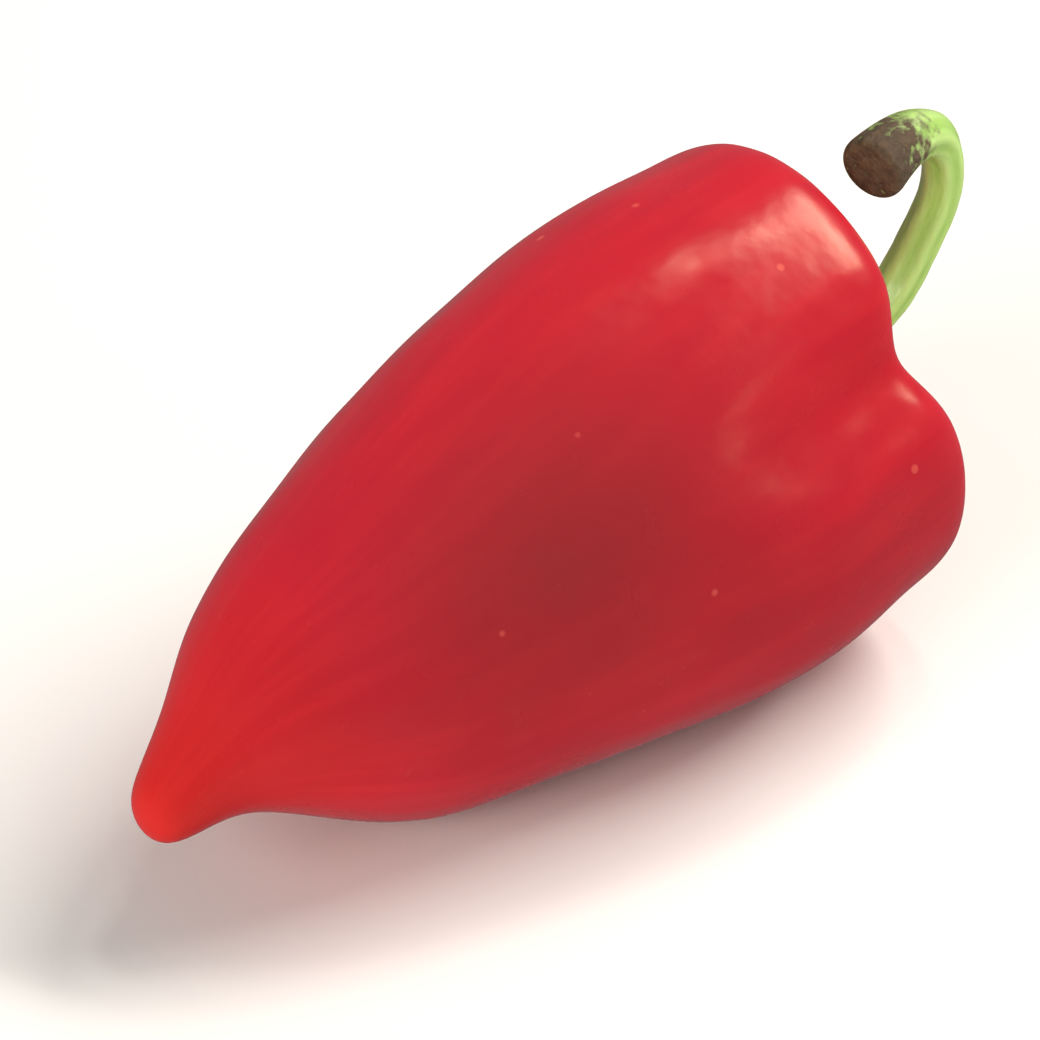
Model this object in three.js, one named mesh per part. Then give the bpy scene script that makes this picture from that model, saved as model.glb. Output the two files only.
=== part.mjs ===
// A piquillo pepper as picked, lying on its side: the fruit, its calyx and its hooked stem.
// Millimetres, +Z up. The tip points along -X, the crown and the stem along +X, and the
// fruit rests on its belly on z = 0. The origin is under the middle of the whole pepper.
//
// Each piece is worked out about the fruit's own axis: "along" runs from the tip to the
// crown, and an angle turns about it, from 0 on the +Y side to 90 on top.

import * as THREE from "three";
import { NURBSCurve } from "three/addons/curves/NURBSCurve.js";

// Driving dimensions, in millimetres and degrees.
const LENGTH = 86; // the fruit, from its tip to its shoulders
const RADIUS = 25.2; // the fruit at its widest, before the grooves sink in
const STEM_RADIUS = 2.1; // the stem, halfway along
const CALYX_REACH = 11; // the calyx, from its middle to a corner
const CALYX_THICKNESS = 1.4; // the calyx, next to the stem
const REST_TILT = 6.1; // the fruit's axis climbs from the tip to the crown
const REST_ROLL = -7.4; // its turn about that axis, from one lobe straight up
const GAP = 0.3; // between two pieces that grow on each other

const MATERIALS = {
  fruit: { color: 0xd02030, roughness: 0.3, metalness: 0 },
  calyx: { color: 0x4f7a33, roughness: 0.6, metalness: 0 },
  stem: { color: 0x7fa43c, roughness: 0.55, metalness: 0 },
};

const { degToRad, smootherstep: ease } = THREE.MathUtils;

// The difference between two angles in degrees, from -180 to 180.
const turn = (a, b) => THREE.MathUtils.euclideanModulo(a - b + 180, 360) - 180;

// A bell of height 1 round a bump's angle, falling off over its width.
const bell = (angle, bump, widening = 1) =>
  Math.exp(-((turn(angle, bump.at) / (bump.width * widening)) ** 2));

// A smooth cubic curve that starts at the first of its points and ends at the last.
function smoothCurve(points) {
  const degree = 3;
  const spans = points.length - degree;
  const inner = Array.from({ length: spans + 1 }, (_, i) => i / spans);
  const knots = [0, 0, 0, ...inner, 1, 1, 1];
  return new NURBSCurve(degree, knots, points.map((p) => new THREE.Vector4(...p, 1)));
}

// A closed skin: rings of points between a first and a last single point, each ring
// turning right-handed about the way that the rings follow each other.
function closedSkin(rows, columns, pointAt) {
  const positions = [];
  const faces = [];
  positions.push(...pointAt(0, 0).toArray());
  for (let row = 1; row < rows; row++) {
    for (let column = 0; column < columns; column++) {
      positions.push(...pointAt(row / rows, (360 * column) / columns).toArray());
    }
  }
  positions.push(...pointAt(1, 0).toArray());
  const last = 1 + (rows - 1) * columns;
  for (let column = 0; column < columns; column++) {
    const next = (column + 1) % columns;
    faces.push(0, 1 + next, 1 + column);
    for (let ring = 0; ring < rows - 2; ring++) {
      const here = 1 + ring * columns;
      const after = here + columns;
      faces.push(here + column, after + next, after + column);
      faces.push(here + column, here + next, after + next);
    }
    faces.push(last, last - columns + column, last - columns + next);
  }
  const geometry = new THREE.BufferGeometry();
  geometry.setAttribute("position", new THREE.Float32BufferAttribute(positions, 3));
  geometry.setIndex(faces);
  geometry.computeVertexNormals();
  return geometry;
}

function mesh(name, geometry) {
  const piece = new THREE.Mesh(geometry, new THREE.MeshStandardMaterial(MATERIALS[name]));
  piece.name = name;
  return piece;
}

// ---- The fruit: a pointed cone with three lobes, and a crown that dips round the stem ----

// Its outline from the tip to the middle of the crown, as parts of the length and the
// radius: how far along, how wide, and how far the section sits above the axis.
const OUTLINE = [
  [0.0, 0.0, -0.105],
  [0.0, 0.095, -0.105],
  [0.03, 0.16, -0.085],
  [0.095, 0.23, 0.01],
  [0.17, 0.425, 0.035],
  [0.285, 0.655, -0.06],
  [0.445, 0.785, 0.0],
  [0.615, 0.93, 0.0],
  [0.775, 1.0, 0.0],
  [0.905, 0.935, 0.0],
  [1.0, 0.94, 0.0],
  [0.985, 0.525, 0.0],
  [0.968, 0.345, 0.0],
  [0.947, 0.217, 0.0],
  [0.941, 0.09, 0.0],
  [0.941, 0.0, 0.0],
];
// The grooves between the lobes. Each begins part of the way along the fruit.
const GROOVES = [
  { at: 31, width: 18, depth: 0.9, start: 0.35 },
  { at: 155, width: 15, depth: 0.8, start: 0.55 },
  { at: 276, width: 22, depth: 0.9, start: 0.085 },
];
const GROOVE_DEPTH = 0.1; // of the radius, between the lobes' sides
const GROOVE_DIP = 0.03; // of the length, between the lobes' shoulders
const LOBE_SWELL = 0.045; // of the radius, at the middle of a lobe
const FLAT_SIDE = { at: 292, width: 34, depth: 0.04 }; // of the radius, along the belly
const TALL_LOBE = { at: 75, reach: 0.015 }; // one shoulder stands further out

const outline = smoothCurve(OUTLINE);

// The fruit's skin. Its shape eases from a round tip to three lobes at the crown: the lobes
// and grooves fade in along the fruit, and fade out again at the tip and in the crown's middle.
function fruitPoint(t, angle) {
  const section = outline.getPoint(t);
  const open = ease(section.y, 0.11, 0.58);
  const lobed = ease(section.x, 0.085, 0.96);
  const crown = ease(section.x, 0.585, 1.01);
  const turned = degToRad(angle);
  let groove = 0;
  let notch = 0;
  for (const each of GROOVES) {
    const dip = each.depth * bell(angle, each, 1 + 0.9 * (1 - lobed));
    groove += dip * ease(section.x, each.start, 0.96);
    notch += dip;
  }
  const lobe = lobed * LOBE_SWELL * Math.cos(3 * (turned - Math.PI / 2));
  const flat = FLAT_SIDE.depth * bell(angle, FLAT_SIDE);
  const radius = RADIUS * section.y * (1 + open * (lobe - GROOVE_DEPTH * groove - flat));
  const facing = Math.max(0, Math.cos(degToRad(turn(angle, TALL_LOBE.at))));
  const rise = TALL_LOBE.reach * facing ** 2 - GROOVE_DIP * notch;
  return new THREE.Vector3(
    LENGTH * (section.x + open * crown * rise),
    radius * Math.cos(turned),
    radius * Math.sin(turned) + RADIUS * section.z,
  );
}

const fruit = mesh("fruit", closedSkin(46, 48, fruitPoint));

// ---- The calyx: the flower's leathery cup, pressed into the crown, with pointed corners ----

const CORNERS = [
  { at: 14, width: 17, reach: 0.98 },
  { at: 76, width: 15, reach: 1.0 },
  { at: 134, width: 18, reach: 0.92 },
  { at: 196, width: 15, reach: 1.03 },
  { at: 254, width: 17, reach: 0.95 },
  { at: 316, width: 16, reach: 1.0 },
];
const WAIST = 0.83; // of the reach, midway between two corners
const RIM_THICKNESS = 0.6; // millimetres, at the calyx's edge

// How far out the rim is at an angle: a round plate drawn out to its corners.
function rimRadius(angle) {
  let reach = WAIST;
  for (const corner of CORNERS) {
    reach += (corner.reach - WAIST) * bell(angle, corner);
  }
  return CALYX_REACH * reach;
}

const SHOULDER = 0.8; // where on the outline the crown begins to narrow
const HALVINGS = 30;

// The point of the crown at a distance from the axis: its outline narrows steadily from
// the shoulder to the middle, so halving the stretch again and again finds the place.
function crownPoint(distance, angle) {
  let outer = SHOULDER;
  let inner = 1;
  for (let i = 0; i < HALVINGS; i++) {
    const middle = (outer + inner) / 2;
    const point = fruitPoint(middle, angle);
    if (Math.hypot(point.y, point.z) > distance) {
      outer = middle;
    } else {
      inner = middle;
    }
  }
  return fruitPoint(inner, angle);
}

// The calyx's skin: the first half of t runs out over the top to the rim, the second half
// back underneath.
function calyxPoint(t, angle) {
  const out = 1 - Math.abs(2 * t - 1);
  const point = crownPoint(out * rimRadius(angle), angle);
  const thickness = THREE.MathUtils.lerp(CALYX_THICKNESS, RIM_THICKNESS, out);
  point.x += GAP + (t < 0.5 ? thickness : 0);
  return point;
}

const calyx = mesh("calyx", closedSkin(16, 60, (t, angle) => calyxPoint(1 - t, angle)));

// ---- The stem: straight out of the calyx, then hooked up and back over the crown ----

// Its middle line, from the foot on the calyx to the scar where it was broken off: how far
// along from the foot, to the +Y side and above the axis, then the thickness in stem radii.
const FOOT = LENGTH * OUTLINE.at(-1)[0] + CALYX_THICKNESS + 2 * GAP;
const STEM = [
  [0, 0, 0, 1.9],
  [2.7, 0, 0, 1.3],
  [7.6, -1.1, -0.2, 1.1],
  [12.7, -2.2, 1.9, 1.04],
  [16.9, -2.8, 6.9, 1.0],
  [21.3, -4, 12.4, 0.97],
  [18.6, -4.9, 21.2, 1.05],
  [9.3, -7, 20.7, 1.6],
];
const STEM_STEPS = 36;
const END_RINGS = 3; // over each end of the stem
const SCAR_BULGE = 0.35; // of the scar's radius

const stemPath = smoothCurve(STEM.map(([along, side, above]) => [FOOT + along, side, above]));
const stemThickness = smoothCurve(STEM.map((point) => [point[3], 0, 0]));
const stemFrames = stemPath.computeFrenetFrames(STEM_STEPS);

// The stem's skin: round rings along the middle line, which shrink to a point over the flat
// foot and over the bulging scar.
function stemPoint(t, angle) {
  const row = Math.round(t * (STEM_STEPS + 2 * END_RINGS)) - END_RINGS;
  const step = THREE.MathUtils.clamp(row, 0, STEM_STEPS);
  const over = Math.abs(row - step) / END_RINGS; // 0 along the stem, 1 at an end's middle
  const run = stemPath.getUtoTmapping(step / STEM_STEPS);
  const radius = STEM_RADIUS * stemThickness.getPoint(run).x;
  const bulge = row > STEM_STEPS ? SCAR_BULGE * radius * Math.sin((over * Math.PI) / 2) : 0;
  const turned = degToRad(angle);
  return stemPath
    .getPoint(run)
    .addScaledVector(stemFrames.normals[step], radius * (1 - over) * Math.cos(turned))
    .addScaledVector(stemFrames.binormals[step], radius * (1 - over) * Math.sin(turned))
    .addScaledVector(stemFrames.tangents[step], bulge);
}

const stem = mesh("stem", closedSkin(STEM_STEPS + 2 * END_RINGS, 16, stemPoint));

// ---- The whole pepper, laid down on its belly, with its tip a little off the surface ----

const pepper = new THREE.Group();
pepper.rotation.set(degToRad(REST_ROLL), degToRad(-REST_TILT), 0, "YXZ");
pepper.add(fruit, calyx, stem);

const laidDown = new THREE.Group();
laidDown.add(pepper);
const box = new THREE.Box3().setFromObject(laidDown, true);
const middle = box.getCenter(new THREE.Vector3());
pepper.position.set(-middle.x, -middle.y, -box.min.z);

export default laidDown;
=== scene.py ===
"""A piquillo pepper as picked, lying on its belly on a pale table: the red fruit, the calyx
pressed into its crown and the hooked stem.

Every surface is worked out about the fruit's own axis: "along" runs from the tip to the
crown, and an angle turns about the axis. The finished points are then laid down as the
frame's pepper lies, at the frame's size. Metres, +Z up.
"""

import math

import bpy
import numpy as np
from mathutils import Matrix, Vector


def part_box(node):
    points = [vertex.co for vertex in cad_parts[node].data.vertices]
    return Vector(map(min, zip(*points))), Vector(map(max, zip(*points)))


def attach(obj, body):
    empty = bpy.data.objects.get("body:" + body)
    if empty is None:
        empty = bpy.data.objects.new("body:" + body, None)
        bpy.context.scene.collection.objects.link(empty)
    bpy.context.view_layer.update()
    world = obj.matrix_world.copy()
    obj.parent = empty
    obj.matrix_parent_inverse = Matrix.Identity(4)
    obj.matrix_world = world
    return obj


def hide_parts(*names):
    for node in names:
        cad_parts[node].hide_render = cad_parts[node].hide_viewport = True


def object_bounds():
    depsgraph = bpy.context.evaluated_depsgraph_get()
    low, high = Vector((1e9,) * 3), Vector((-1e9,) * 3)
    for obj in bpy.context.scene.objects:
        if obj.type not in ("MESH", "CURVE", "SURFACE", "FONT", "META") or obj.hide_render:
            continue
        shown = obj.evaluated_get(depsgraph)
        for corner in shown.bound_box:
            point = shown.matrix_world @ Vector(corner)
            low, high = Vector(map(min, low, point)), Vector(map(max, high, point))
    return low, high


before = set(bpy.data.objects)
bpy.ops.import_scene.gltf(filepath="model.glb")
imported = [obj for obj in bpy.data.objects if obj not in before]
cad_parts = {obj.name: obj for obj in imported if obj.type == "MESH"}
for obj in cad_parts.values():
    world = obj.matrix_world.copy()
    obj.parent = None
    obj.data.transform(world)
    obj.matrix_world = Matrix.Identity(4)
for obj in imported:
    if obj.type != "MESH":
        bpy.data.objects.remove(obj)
cad_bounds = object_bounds()


# ---- The fruit -------------------------------------------------------------------------
# One hollow berry of thick red flesh under a thin, waxy, glossy skin. It grows as three
# lobes with a groove between each pair, narrows to a curled tip, and dips in round the stem.

# Its outline from the tip to the middle of the crown, as parts of its length and its widest
# radius: how far along, how wide, and how far the section sits above the axis.
OUTLINE = [
    (0.0, 0.0, -0.105),
    (0.0, 0.095, -0.105),
    (0.03, 0.16, -0.085),
    (0.095, 0.23, 0.01),
    (0.17, 0.425, 0.035),
    (0.285, 0.655, -0.06),
    (0.445, 0.785, 0.0),
    (0.615, 0.93, 0.0),
    (0.775, 1.0, 0.0),
    (0.905, 0.935, 0.0),
    (1.0, 0.94, 0.0),
    (0.985, 0.525, 0.0),
    (0.968, 0.345, 0.0),
    (0.947, 0.217, 0.0),
    (0.941, 0.09, 0.0),
    (0.941, 0.0, 0.0),
]
CROWN_FLOOR = 0.941  # how far along the middle of the crown is
RADIUS = 0.293  # the fruit at its widest, as a part of its length
# Each groove's angle and width in degrees, its depth, and how far along it begins.
GROOVES = [(31, 18, 0.9, 0.35), (155, 15, 0.8, 0.55), (276, 22, 0.9, 0.085)]
GROOVE_DEPTH = 0.1  # of the radius, between the lobes' sides
GROOVE_DIP = 0.03  # of the length, between the lobes' shoulders
LOBE_SWELL = 0.045  # of the radius, at the middle of a lobe
FLAT_SIDE = (292, 34, 0.04)  # the belly is a little flat
TALL_LOBE = (75, 0.015)  # one shoulder stands further out
SHADE_PATCH = (0.47, 145, 0.22)  # painted shade: a darker patch on the flank, given as along, angle and reach
REST_TILT = math.radians(6.1)  # the axis climbs from the tip to the crown
REST_ROLL = math.radians(-7.4)  # the fruit's turn about its axis


def smooth_curve(points, t):
    """A cubic B-spline from the first point to the last: every value is a mean of four
    neighbouring points, weighted by the Cox-de Boor recursion on evenly spaced knots."""
    points = np.array(points, float)
    knots = np.concatenate([np.zeros(3), np.linspace(0, 1, len(points) - 2), np.ones(3)])
    t = np.clip(t, 0, 1 - 1e-9)[..., None]
    weights = ((knots[:-1] <= t) & (t < knots[1:])).astype(float)
    for degree in (1, 2, 3):
        count = len(knots) - degree - 1
        rise = knots[degree : degree + count] - knots[:count]
        fall = knots[degree + 1 :] - knots[1 : count + 1]
        up = (t - knots[:count]) / np.where(rise > 0, rise, 1)
        down = (knots[degree + 1 :] - t) / np.where(fall > 0, fall, 1)
        weights = up * weights[..., :count] + down * weights[..., 1 : count + 1]
    return weights @ points


def ease(value, low, high):
    """0 below low, 1 above high, and the smooth quintic 6x^5 - 15x^4 + 10x^3 between."""
    x = np.clip((value - low) / (high - low), 0, 1)
    return x**3 * (x * (6 * x - 15) + 10)


def bell(angle, at, width):
    """exp(-(d / width)^2), where d is the shorter turn in degrees between angle and at."""
    away = (np.degrees(angle) - at + 180) % 360 - 180
    return np.exp(-((away / width) ** 2))


def ripples(along, angle, seed, waves, longest):
    """A gentle unevenness from -1 to 1: a sum of sine waves that each run a whole number
    of times round and a few times along, weaker as they get shorter."""
    draw = np.random.default_rng(seed)
    total = 0
    for wave in range(1, waves + 1):
        turns = draw.integers(1, 2 + wave)
        pace = draw.uniform(-1, 1) * wave / longest
        phase = draw.uniform(0, 2 * np.pi)
        total = total + np.sin(turns * angle + 2 * np.pi * pace * along + phase) / wave**0.7
    return total / np.sqrt(waves)


def fruit_surface(t, angle):
    """The fruit's skin for a length of 1. The outline gives how far along, how wide and how
    high each ring is. The radius times 1 + swell * cos(3 * angle) - grooves makes the three
    lobes, and the grooves also pull the shoulders back towards the tip."""
    along, wide, lift = np.moveaxis(smooth_curve(OUTLINE, t), -1, 0)
    body = ease(wide, 0.11, 0.58)
    lobed = ease(along, 0.085, 0.96)
    crown = ease(along, 0.585, 1.01)
    dips = [depth * bell(angle, at, width * (1.9 - 0.9 * lobed))
            for at, width, depth, _ in GROOVES]
    groove = sum(dip * ease(along, start, 0.96) for dip, (*_, start) in zip(dips, GROOVES))
    swell = lobed * LOBE_SWELL * np.cos(3 * (angle - np.pi / 2)) - GROOVE_DEPTH * groove
    flat = FLAT_SIDE[2] * bell(angle, *FLAT_SIDE[:2])
    radius = RADIUS * wide * (1 + body * (swell - flat))
    facing = np.clip(np.cos(angle - math.radians(TALL_LOBE[0])), 0, 1) ** 2
    rise = TALL_LOBE[1] * facing - GROOVE_DIP * sum(dips)
    return np.stack([
        along + body * crown * rise,
        radius * np.cos(angle),
        radius * np.sin(angle) + RADIUS * lift,
    ], -1), along, groove * body


def laid_down(points):
    """Turns points about the axis by the roll, then tips the crown up by the tilt."""
    c, s = math.cos(REST_ROLL), math.sin(REST_ROLL)
    roll = np.array([[1, 0, 0], [0, c, -s], [0, s, c]])
    c, s = math.cos(REST_TILT), math.sin(REST_TILT)
    tilt = np.array([[c, 0, -s], [0, 1, 0], [s, 0, c]])
    return points @ (tilt @ roll).T


def grid(rows, columns):
    """The two parameters of a closed skin: t from 0 to 1 down the rows, and the angle."""
    return np.meshgrid(
        np.linspace(0, 1, rows), np.linspace(0, 2 * np.pi, columns, endpoint=False),
        indexing="ij",
    )


def closed_skin(name, points, material, **attributes):
    """A mesh from a grid of rings whose first and last ring have shrunk to one point each.
    Quads join each ring to the next, and fans of triangles close the two ends."""
    rows, columns = points.shape[:2]

    def ring(values):
        middle = values[1:-1].reshape(-1, *values.shape[2:])
        return np.concatenate([values[:1, 0], middle, values[-1:, 0]])

    here = 1 + np.arange((rows - 3) * columns).reshape(-1, columns)
    beside = np.roll(here, -1, axis=1)
    quads = np.stack([here, beside, beside + columns, here + columns], -1).reshape(-1, 4)
    first, last = here[0], here[-1] + columns
    end = (rows - 2) * columns + 1
    fans = np.concatenate([
        np.stack([np.zeros_like(first), np.roll(first, -1), first], -1),
        np.stack([np.full_like(last, end), last, np.roll(last, -1)], -1),
    ])
    mesh = bpy.data.meshes.new(name)
    mesh.from_pydata(ring(points).tolist(), [], quads.tolist() + fans.tolist())
    for label, values in attributes.items():
        kind = "FLOAT_VECTOR" if values.ndim == 3 else "FLOAT"
        layer = mesh.attributes.new(label, kind, "POINT")
        layer.data.foreach_set("vector" if values.ndim == 3 else "value", ring(values).ravel())
    mesh.polygons.foreach_set("use_smooth", np.ones(len(mesh.polygons), bool))
    mesh.materials.append(material)
    mesh.update()
    piece = bpy.data.objects.new(name, mesh)
    bpy.context.scene.collection.objects.link(piece)
    return piece


def colour(hex_value):
    """An sRGB hex colour as the linear red, green, blue and alpha that a shader works in."""
    parts = [int(hex_value[i : i + 2], 16) / 255 for i in (1, 3, 5)]
    return (*[p / 12.92 if p <= 0.04045 else ((p + 0.055) / 1.055) ** 2.4 for p in parts], 1)


def add(tree, kind, inputs=(), **settings):
    """Adds a shader node with its settings. Each input takes a value, or the output of
    another node, and is named by its socket's name or number."""
    node = tree.nodes.new("ShaderNode" + kind)
    for name, value in settings.items():
        setattr(node, name, value)
    for name, value in dict(inputs).items():
        if isinstance(value, bpy.types.NodeSocket):
            tree.links.new(value, node.inputs[name])
        else:
            node.inputs[name].default_value = value
    return node


MM = 0.001
LOW, HIGH, PART_A, PART_B, MIXED = "From Min", "From Max", 6, 7, 2  # node sockets


def ripe_skin():
    """Ripe pepper skin: a thin wax cuticle over red flesh. It gives a soft broad gloss, a
    deep crimson that turns to orange at the tip, painted shade as a duskier patch on the
    flank and a darker red down the grooves, and faint pale flecks."""
    material = bpy.data.materials.new("ripe_pepper_skin")
    material.use_nodes = True
    tree = material.node_tree
    shader = tree.nodes["Principled BSDF"]
    place = add(tree, "TexCoord").outputs["Object"]
    grain = add(tree, "Attribute", attribute_name="grain").outputs["Vector"]
    along = add(tree, "Attribute", attribute_name="along").outputs["Fac"]
    groove = add(tree, "Attribute", attribute_name="groove").outputs["Fac"]

    cloud = add(tree, "TexNoise", {"Vector": place, "Scale": 1 / (26 * MM), "Detail": 2.0})
    cloudy = add(tree, "MapRange", {"Value": cloud.outputs["Fac"], LOW: 0.25, HIGH: 0.8},
                 interpolation_type="SMOOTHSTEP")
    red = add(tree, "Mix", {"Factor": cloudy.outputs[0], PART_A: colour("#c42232"),
                            PART_B: colour("#b61e2f")}, data_type="RGBA")
    streak = add(tree, "TexNoise", {"Vector": grain, "Scale": 9.0, "Detail": 2.0})
    streaky = add(tree, "MapRange", {"Value": streak.outputs["Fac"], LOW: 0.35, HIGH: 0.8,
                                     "To Max": 0.5}, interpolation_type="SMOOTHSTEP")
    streaked = add(tree, "Mix", {"Factor": streaky.outputs[0], PART_A: red.outputs[MIXED],
                                 PART_B: colour("#d22a34")}, data_type="RGBA")
    late = add(tree, "Attribute", attribute_name="late").outputs["Fac"]
    mottle = add(tree, "TexNoise", {"Vector": place, "Scale": 1 / (8 * MM), "Detail": 2.0})
    mottled = add(tree, "MapRange", {"Value": mottle.outputs["Fac"], LOW: 0.1, HIGH: 0.9,
                                     "To Min": 0.75, "To Max": 1.0})
    # painted shade: a soft, mottled patch on the flank that mixes the skin towards a dusky
    # brownish red
    patch_shade_mask = add(tree, "Math", {0: late, 1: mottled.outputs[0]}, operation="MULTIPLY")
    patch_shaded = add(tree, "Mix", {"Factor": patch_shade_mask.outputs[0], PART_A: streaked.outputs[MIXED],
                                PART_B: colour("#8e2a2e")}, data_type="RGBA")
    to_tip = add(tree, "MapRange", {"Value": along, LOW: 0.24, HIGH: 0.0, "To Max": 0.55})
    tipped = add(tree, "Mix", {"Factor": to_tip.outputs[0], PART_A: patch_shaded.outputs[MIXED],
                               PART_B: colour("#d02a17")}, data_type="RGBA")
    # painted shade: the skin turns a darker, deeper red down the grooves
    groove_shade = add(tree, "MapRange", {"Value": groove, LOW: 0.2, HIGH: 1.0, "To Max": 0.35})
    shaded = add(tree, "Mix", {"Factor": groove_shade.outputs[0], PART_A: tipped.outputs[MIXED],
                               PART_B: colour("#a80c1a")}, data_type="RGBA")
    fleck = add(tree, "TexVoronoi", {"Vector": place, "Scale": 1 / (7 * MM),
                                     "Randomness": 1.0})
    speck = add(tree, "MapRange", {"Value": fleck.outputs["Distance"], LOW: 0.075,
                                   HIGH: 0.045, "To Max": 0.5})
    flecked = add(tree, "Mix", {"Factor": speck.outputs[0], PART_A: shaded.outputs[MIXED],
                                PART_B: colour("#e8685a")}, data_type="RGBA")
    tree.links.new(flecked.outputs[MIXED], shader.inputs["Base Color"])

    matt = add(tree, "TexNoise", {"Vector": place, "Scale": 1 / (5 * MM), "Detail": 2.0})
    rough = add(tree, "MapRange", {"Value": matt.outputs["Fac"], LOW: 0.1, HIGH: 0.9,
                                   "To Min": 0.15, "To Max": 0.33})
    tree.links.new(rough.outputs[0], shader.inputs["Roughness"])

    swells = add(tree, "TexNoise", {"Vector": place, "Scale": 1 / (5.5 * MM), "Detail": 2.0})
    waves = add(tree, "Bump", {"Height": swells.outputs["Fac"], "Distance": 0.16 * MM,
                               "Strength": 0.8})
    cells = add(tree, "TexNoise", {"Vector": place, "Scale": 1 / (0.7 * MM), "Detail": 2.0})
    pores = add(tree, "Bump", {"Height": cells.outputs["Fac"], "Distance": 0.012 * MM,
                               "Strength": 0.5, "Normal": waves.outputs[0]})
    tree.links.new(pores.outputs[0], shader.inputs["Normal"])

    shader.inputs["IOR"].default_value = 1.42
    shader.inputs["Specular IOR Level"].default_value = 0.38
    shader.inputs["Specular Tint"].default_value = colour("#ffdfb8")
    shader.inputs["Subsurface Weight"].default_value = 0.12
    shader.inputs["Subsurface Radius"].default_value = (1.0, 0.15, 0.1)
    shader.inputs["Subsurface Scale"].default_value = 2.5 * MM
    return material


# The frame's fruit gives the length, and then the place.
low, high = (np.array(corner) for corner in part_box("fruit"))
plain = laid_down(fruit_surface(*grid(120, 120))[0])
length = (high[0] - low[0]) / np.ptp(plain[..., 0])
centre = (low + high) / 2
plain_centre = (plain.min((0, 1)) + plain.max((0, 1))) / 2


def placed(points):
    """Points of unit length laid down, brought to the frame's size and put in its place."""
    return (laid_down(points) - plain_centre) * length + centre


SWELL_HEIGHT, RIB_HEIGHT, PLEAT_HEIGHT = 0.0042, 0.0009, 0.0016  # parts of the length
PLEATS = 17  # round the stem


def uneven(points, along, angle):
    """The fruit with the unevenness of a grown thing: broad swells and shallow flats on its
    flanks, finer lengthwise ribs, and pleats that gather round the stem."""
    out = points - np.stack([points[..., 0], 0 * angle, 0 * angle], -1)
    reach = np.linalg.norm(out, axis=-1, keepdims=True)
    out = out / np.maximum(reach, 1e-6)
    flank = ease(along, 0.04, 0.3)
    swell = SWELL_HEIGHT * ripples(along, angle, 5, 9, 0.9)
    ribs = RIB_HEIGHT * ripples(along * 0.4, angle * 5, 11, 7, 1.0)
    pleats = PLEAT_HEIGHT * np.cos(PLEATS * angle + 2 * ripples(along, angle, 3, 4, 1.0))
    near_stem = ease(reach[..., 0], 0.26, 0.1) * ease(along, 0.9, 0.96)
    points = points + out * (flank * (swell + ribs))[..., None]
    points[..., 0] += near_stem * pleats
    return points


t, angle = grid(250, 360)
skin_points, along, groove = fruit_surface(t, angle)
skin_points = uneven(skin_points, along, angle)
grain = np.stack([0.6 * along, np.cos(angle), np.sin(angle)], -1)
# how strongly each point lies in the painted shade patch on the flank
from_late = np.hypot(along - SHADE_PATCH[0], RADIUS * (angle - math.radians(SHADE_PATCH[1])))
late = np.exp(-((from_late / SHADE_PATCH[2]) ** 2))
fruit = closed_skin("fruit_skin", placed(skin_points), ripe_skin(),
                    grain=grain, along=along, groove=groove, late=late)
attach(fruit, "root")
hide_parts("fruit")


# ---- The calyx -------------------------------------------------------------------------
# The green, leathery cup that once held the flower. It stays pressed into the crown as a
# crumpled plate with pointed corners, a vein from the stem to each, and a thin pale rim.

REACH = 0.128  # from its middle to a corner, as a part of the fruit's length
WAIST = 0.83  # of the reach, midway between two corners
CORNERS = [(14, 17, 0.98), (76, 15, 1.0), (134, 18, 0.92),
           (196, 15, 1.03), (254, 17, 0.95), (316, 16, 1.0)]
MIDDLE_THICKNESS = 1.4 * MM / length
RIM_THICKNESS = 0.6 * MM / length
GAP = 0.15 * MM / length
SHOULDER = 0.8  # where on the outline the crown begins to narrow
HALVINGS = 30
VEIN_WIDTH = 7  # degrees, of a vein that runs to a corner
FINE_VEINS = 30
VEIN_HEIGHT, FINE_VEIN_HEIGHT, CONE_HEIGHT = 0.45, 0.18, 1.0  # millimetres


def crown_surface(distance, angle):
    """The crown's skin at a distance from the axis. The outline narrows steadily from the
    shoulder to the middle, so halving the stretch again and again finds the place."""
    outer, inner = np.full_like(angle, SHOULDER), np.ones_like(angle)
    for _ in range(HALVINGS):
        middle = (outer + inner) / 2
        points = fruit_surface(middle, angle)[0]
        wide = np.hypot(points[..., 1], points[..., 2]) > distance
        outer, inner = np.where(wide, middle, outer), np.where(wide, inner, middle)
    points, along, _ = fruit_surface(inner, angle)
    return uneven(points, along, angle)


def calyx_surface(t, angle):
    """The calyx over the crown. The first half of t runs out underneath to the rim, the
    second back over the top. The rim's radius is a waist plus a bell at each corner. The top
    is thicker by a vein to each corner, by finer veins between them and by a low cone round
    the stem."""
    out = 1 - np.abs(2 * t - 1)
    reach = WAIST + sum((tip - WAIST) * bell(angle, at, width) for at, width, tip in CORNERS)
    points = crown_surface(out * REACH * reach, angle)
    vein = sum(bell(angle, at, VEIN_WIDTH) for at, _, _ in CORNERS)
    fine = 0.5 + 0.5 * np.cos(FINE_VEINS * angle + 3 * ripples(out, angle, 8, 5, 0.5))
    thick = MIDDLE_THICKNESS + (RIM_THICKNESS - MIDDLE_THICKNESS) * out
    raised = (VEIN_HEIGHT * vein * ease(out, 0.15, 0.4) * ease(out, 1.05, 0.6)
              + FINE_VEIN_HEIGHT * fine * ease(out, 0.2, 0.5) * ease(out, 1.0, 0.8))
    raised = raised * MM / length
    cone = CONE_HEIGHT * MM / length * ease(out, 0.5, 0.1)
    top = ease(t, 0.5, 0.53)
    points[..., 0] += GAP + top * (thick + raised + cone)
    return points, out, vein * ease(out, 0.1, 0.4) + 0.4 * fine


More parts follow.
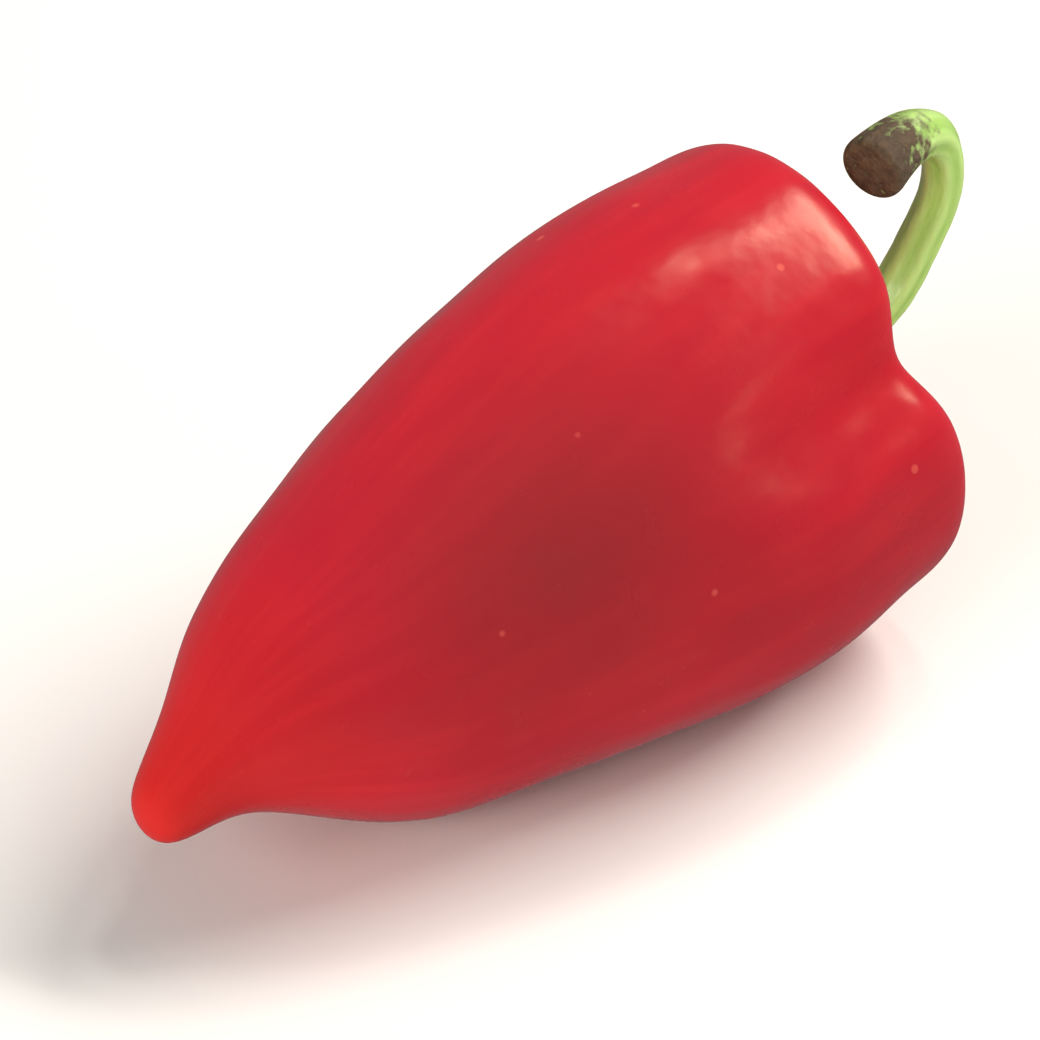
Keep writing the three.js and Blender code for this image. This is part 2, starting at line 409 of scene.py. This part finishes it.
def green_calyx():
    """Calyx tissue: crumpled, leathery and matt, a blotchy green that is paler on its veins,
    and yellowish along its thin rim."""
    material = bpy.data.materials.new("green_calyx_tissue")
    material.use_nodes = True
    tree = material.node_tree
    shader = tree.nodes["Principled BSDF"]
    place = add(tree, "TexCoord").outputs["Object"]
    out = add(tree, "Attribute", attribute_name="out").outputs["Fac"]
    vein = add(tree, "Attribute", attribute_name="vein").outputs["Fac"]
    blotch = add(tree, "TexNoise", {"Vector": place, "Scale": 1 / (2.2 * MM), "Detail": 4.0})
    green = add(tree, "Mix", {"Factor": blotch.outputs["Fac"], PART_A: colour("#2c5420"),
                              PART_B: colour("#7fa85a")}, data_type="RGBA")
    veined = add(tree, "Mix", {"Factor": vein, PART_A: green.outputs[MIXED],
                               PART_B: colour("#7da648")}, data_type="RGBA")
    to_rim = add(tree, "MapRange", {"Value": out, LOW: 0.91, HIGH: 1.0})
    rimmed = add(tree, "Mix", {"Factor": to_rim.outputs[0], PART_A: veined.outputs[MIXED],
                               PART_B: colour("#cdbb6e")}, data_type="RGBA")
    tree.links.new(rimmed.outputs[MIXED], shader.inputs["Base Color"])
    crumple = add(tree, "TexNoise", {"Vector": place, "Scale": 1 / (1.4 * MM),
                                     "Detail": 4.0, "Distortion": 1.2})
    bump = add(tree, "Bump", {"Height": crumple.outputs["Fac"], "Distance": 0.5 * MM,
                              "Strength": 0.8})
    tree.links.new(bump.outputs[0], shader.inputs["Normal"])
    shader.inputs["Roughness"].default_value = 0.52
    shader.inputs["IOR"].default_value = 1.42
    return material


t, angle = grid(90, 480)
calyx_points, out, vein = calyx_surface(t, angle)
calyx = closed_skin("calyx_cup", placed(calyx_points), green_calyx(), out=out, vein=vein)
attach(calyx, "root")
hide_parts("calyx")


# ---- The stem --------------------------------------------------------------------------
# The stalk that the pepper hung from: green, ribbed lengthwise, flared where it joins the
# calyx, hooked up and back over the crown, and swollen and corky where it was snapped off.

STEM_RADIUS = 0.0244  # halfway along, as a part of the fruit's length
# Its middle line: how far along from the foot, to one side and above the axis, all as parts
# of the fruit's length, then the thickness in stem radii.
STEM = [
    (0.0, 0.0, 0.0, 1.9),
    (0.031, 0.0, 0.0, 1.3),
    (0.088, -0.013, -0.002, 1.1),
    (0.148, -0.026, 0.022, 1.04),
    (0.197, -0.033, 0.08, 1.0),
    (0.248, -0.047, 0.144, 0.97),
    (0.216, -0.057, 0.247, 1.05),
    (0.108, -0.081, 0.241, 1.6),
]
FOOT_GAP = 0.6 * MM / length  # two gaps of the frame's; the calyx's cone closes them here
FOOT = CROWN_FLOOR + MIDDLE_THICKNESS + FOOT_GAP
SCAR_START = 0.93  # how much of t runs along the line; the rest domes over the scar
SCAR_BULGE = 0.35  # of the scar's radius
STEM_RIBS = 6
RIDGE, STEM_UNEVENNESS = 0.035, 0.02  # parts of the stem's radius
LINE_STEPS = 399  # for the direction of the middle line


def stem_surface(t, angle):
    """A round section carried along the middle line. Its frame turns as little as it can from
    each step to the next. The radius times 1 + ribs makes the ridges, and past the end of
    the line it shrinks by the cube root of 1 - over^3, over a low dome that is the scar."""
    run = np.clip(t[:, :1] / SCAR_START, 0, 1)
    over = np.clip((t[:, :1] - SCAR_START) / (1 - SCAR_START), 0, 1)
    line = smooth_curve(STEM, run[:, 0])
    path, thick = line[:, :3] + (FOOT, 0, 0), line[:, 3:] * STEM_RADIUS
    ahead = np.gradient(smooth_curve(STEM, np.linspace(0, 1, LINE_STEPS + 1))[:, :3], axis=0)
    ahead /= np.linalg.norm(ahead, axis=1, keepdims=True)
    ahead = ahead[np.round(run[:, 0] * LINE_STEPS).astype(int)]
    across = np.empty_like(path)
    across[0] = (0, 1, 0)
    for i in range(1, len(path)):
        side = across[i - 1] - (across[i - 1] @ ahead[i]) * ahead[i]
        across[i] = side / np.linalg.norm(side)
    above = np.cross(ahead, across)
    ribs = RIDGE * np.cos(STEM_RIBS * angle + 2.5 * run + 0.5 * np.sin(2 * angle))
    ribs = ribs + STEM_UNEVENNESS * ripples(run * 3, angle * 2, 21, 8, 1.0)
    radius = thick * (1 + ribs * ease(t, 0.0, 0.12) * ease(t, 0.95, 0.8))
    radius = radius * (1 - over**3) ** (1 / 3)
    radius = radius * np.where(t == 0, 0, 1)
    dome = SCAR_BULGE * thick * np.sin(over * np.pi / 2)
    points = (path + dome * ahead)[:, None] + (
        radius[..., None] * (np.cos(angle)[..., None] * across[:, None]
                             + np.sin(angle)[..., None] * above[:, None]))
    return points, np.broadcast_to(run, t.shape), ribs


def green_stem():
    """Stalk skin: green with paler ribs and fine lengthwise fibres, a thin waxy shine, and
    dry brown cork over the end that was snapped."""
    material = bpy.data.materials.new("green_stalk_skin")
    material.use_nodes = True
    tree = material.node_tree
    shader = tree.nodes["Principled BSDF"]
    place = add(tree, "TexCoord").outputs["Object"]
    run = add(tree, "Attribute", attribute_name="run").outputs["Fac"]
    rib = add(tree, "Attribute", attribute_name="rib").outputs["Fac"]
    grain = add(tree, "Attribute", attribute_name="grain").outputs["Vector"]
    fibre = add(tree, "TexNoise", {"Vector": grain, "Scale": 5.0, "Detail": 5.0,
                                   "Roughness": 0.65})
    green = add(tree, "Mix", {"Factor": fibre.outputs["Fac"], PART_A: colour("#76a03f"),
                              PART_B: colour("#a4c46c")}, data_type="RGBA")
    high_rib = add(tree, "MapRange", {"Value": rib, LOW: -0.04, HIGH: 0.06, "To Max": 0.6})
    ribbed = add(tree, "Mix", {"Factor": high_rib.outputs[0], PART_A: green.outputs[MIXED],
                               PART_B: colour("#bdd48c")}, data_type="RGBA")
    cork = add(tree, "TexNoise", {"Vector": place, "Scale": 1 / (1.2 * MM), "Detail": 6.0})
    brown = add(tree, "Mix", {"Factor": cork.outputs["Fac"], PART_A: colour("#1c140e"),
                              PART_B: colour("#5e4a34")}, data_type="RGBA")
    edge = add(tree, "Math", {0: cork.outputs["Fac"], 1: 0.14, 2: run},
               operation="MULTIPLY_ADD")
    to_scar = add(tree, "MapRange", {"Value": edge.outputs[0], LOW: 1.01, HIGH: 1.05})
    scarred = add(tree, "Mix", {"Factor": to_scar.outputs[0], PART_A: ribbed.outputs[MIXED],
                                PART_B: brown.outputs[MIXED]}, data_type="RGBA")
    tree.links.new(scarred.outputs[MIXED], shader.inputs["Base Color"])
    rough = add(tree, "MapRange", {"Value": to_scar.outputs[0], "To Min": 0.24,
                                   "To Max": 0.85})
    tree.links.new(rough.outputs[0], shader.inputs["Roughness"])
    ridges = add(tree, "Bump", {"Height": fibre.outputs["Fac"], "Distance": 0.12 * MM,
                                "Strength": 0.5})
    crust = add(tree, "Bump", {"Height": cork.outputs["Fac"], "Distance": 0.8 * MM,
                               "Strength": to_scar.outputs[0],
                               "Normal": ridges.outputs[0]})
    tree.links.new(crust.outputs[0], shader.inputs["Normal"])
    shader.inputs["IOR"].default_value = 1.45
    shader.inputs["Subsurface Weight"].default_value = 0.25
    shader.inputs["Subsurface Radius"].default_value = (0.6, 1.0, 0.3)
    shader.inputs["Subsurface Scale"].default_value = 1.5 * MM
    return material


t, angle = grid(300, 96)
stem_points, run, ribs = stem_surface(t, angle)
stem_grain = np.stack([2.2 * run, np.cos(angle), np.sin(angle)], -1)
stem = closed_skin("stem_stalk", placed(stem_points), green_stem(),
                   run=run, rib=ribs, grain=stem_grain)
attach(stem, "root")
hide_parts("stem")


# ---- The table, the lights and the camera ----------------------------------------------
# A plain white table under soft boxes: a long slanted key on the stem's side, two small ones
# that glint on the crown, a broad one at the tip that fills in the shade, and one for the stem.

FLOOR_HALF = 1.5  # metres
floor_mesh = bpy.data.meshes.new("table")
floor_mesh.from_pydata(
    [(x * FLOOR_HALF, y * FLOOR_HALF, 0) for x, y in ((-1, -1), (1, -1), (1, 1), (-1, 1))],
    [], [(0, 1, 2, 3)])
table_paint = bpy.data.materials.new("white_table_paint")
table_paint.use_nodes = True
paint = table_paint.node_tree.nodes["Principled BSDF"].inputs
paint["Base Color"].default_value = colour("#f2f1ee")
paint["Roughness"].default_value = 0.6
floor_mesh.materials.append(table_paint)
floor = bpy.data.objects.new("table", floor_mesh)
bpy.context.scene.collection.objects.link(floor)
floor.visible_glossy = False  # the skin mirrors the lamps but not the table

room = bpy.data.worlds.new("studio")
room.use_nodes = True
daylight = room.node_tree.nodes["Background"].inputs
daylight["Color"].default_value = colour("#f4f6fa")
daylight["Strength"].default_value = 0.2
bpy.context.scene.world = room
bpy.context.scene.view_settings.view_transform = "Standard"


def direction(azimuth, elevation):
    """The unit vector towards a compass angle, from -Y round to +X, and a height angle."""
    a, e = math.radians(azimuth), math.radians(elevation)
    return np.array([math.sin(a) * math.cos(e), -math.cos(a) * math.cos(e), math.sin(e)])


def aim(thing, place, target):
    """Puts a light or camera at a place, with its -Z axis towards the target."""
    thing.location = place
    thing.rotation_euler = Vector(place - target).to_track_quat("Z", "Y").to_euler()


pepper_middle = np.array(cad_bounds).mean(0)
KEY_SLANT = math.radians(25)  # the key's far end is raised


def soft_box(name, azimuth, elevation, distance, wide, tall, watts, glossy=True):
    """A rectangular soft box that faces the pepper. One that isn't glossy only fills in the
    shade, and shows no reflection of its own."""
    lamp = bpy.data.lights.new(name, "AREA")
    lamp.shape = "RECTANGLE"
    lamp.size, lamp.size_y, lamp.energy = wide, tall, watts
    lamp.color = colour("#fffaf3")[:3]
    box = bpy.data.objects.new(name, lamp)
    bpy.context.scene.collection.objects.link(box)
    box.visible_glossy = glossy
    aim(box, pepper_middle + distance * direction(azimuth, elevation), pepper_middle)
    return box


key_box = soft_box("key_box", 80, 43, 0.9, 0.62, 0.17, 9.4)
key_box.rotation_euler.rotate_axis("Z", KEY_SLANT)
soft_box("roof_box", 110, 65, 0.9, 0.14, 0.14, 0.9)
soft_box("front_box", 33, 24, 0.9, 0.08, 0.1, 0.15)
soft_box("tip_box", -85, 22, 1.0, 0.7, 0.5, 9.2, glossy=False)
stem_box = soft_box("stem_box", -15, 40, 0.5, 0.3, 0.12, 2.2)
stem_only = bpy.data.collections.new("stem_only")
stem_only.objects.link(stem)
stem_box.light_linking.receiver_collection = stem_only

CAMERA_AZIMUTH, CAMERA_ELEVATION = -42.6, 37
CAMERA_DISTANCE = 7.34 * length
FOCAL_LENGTH, SENSOR_WIDTH = 232, 36  # millimetres, a long lens
lens = bpy.data.cameras.new("camera")
lens.sensor_width = SENSOR_WIDTH
lens.lens = FOCAL_LENGTH
camera = bpy.data.objects.new("camera", lens)
bpy.context.scene.collection.objects.link(camera)
target = placed(np.array([0.56, 0.0, 0.03]))
aim(camera, target + CAMERA_DISTANCE * direction(CAMERA_AZIMUTH, CAMERA_ELEVATION), target)
bpy.context.scene.camera = camera
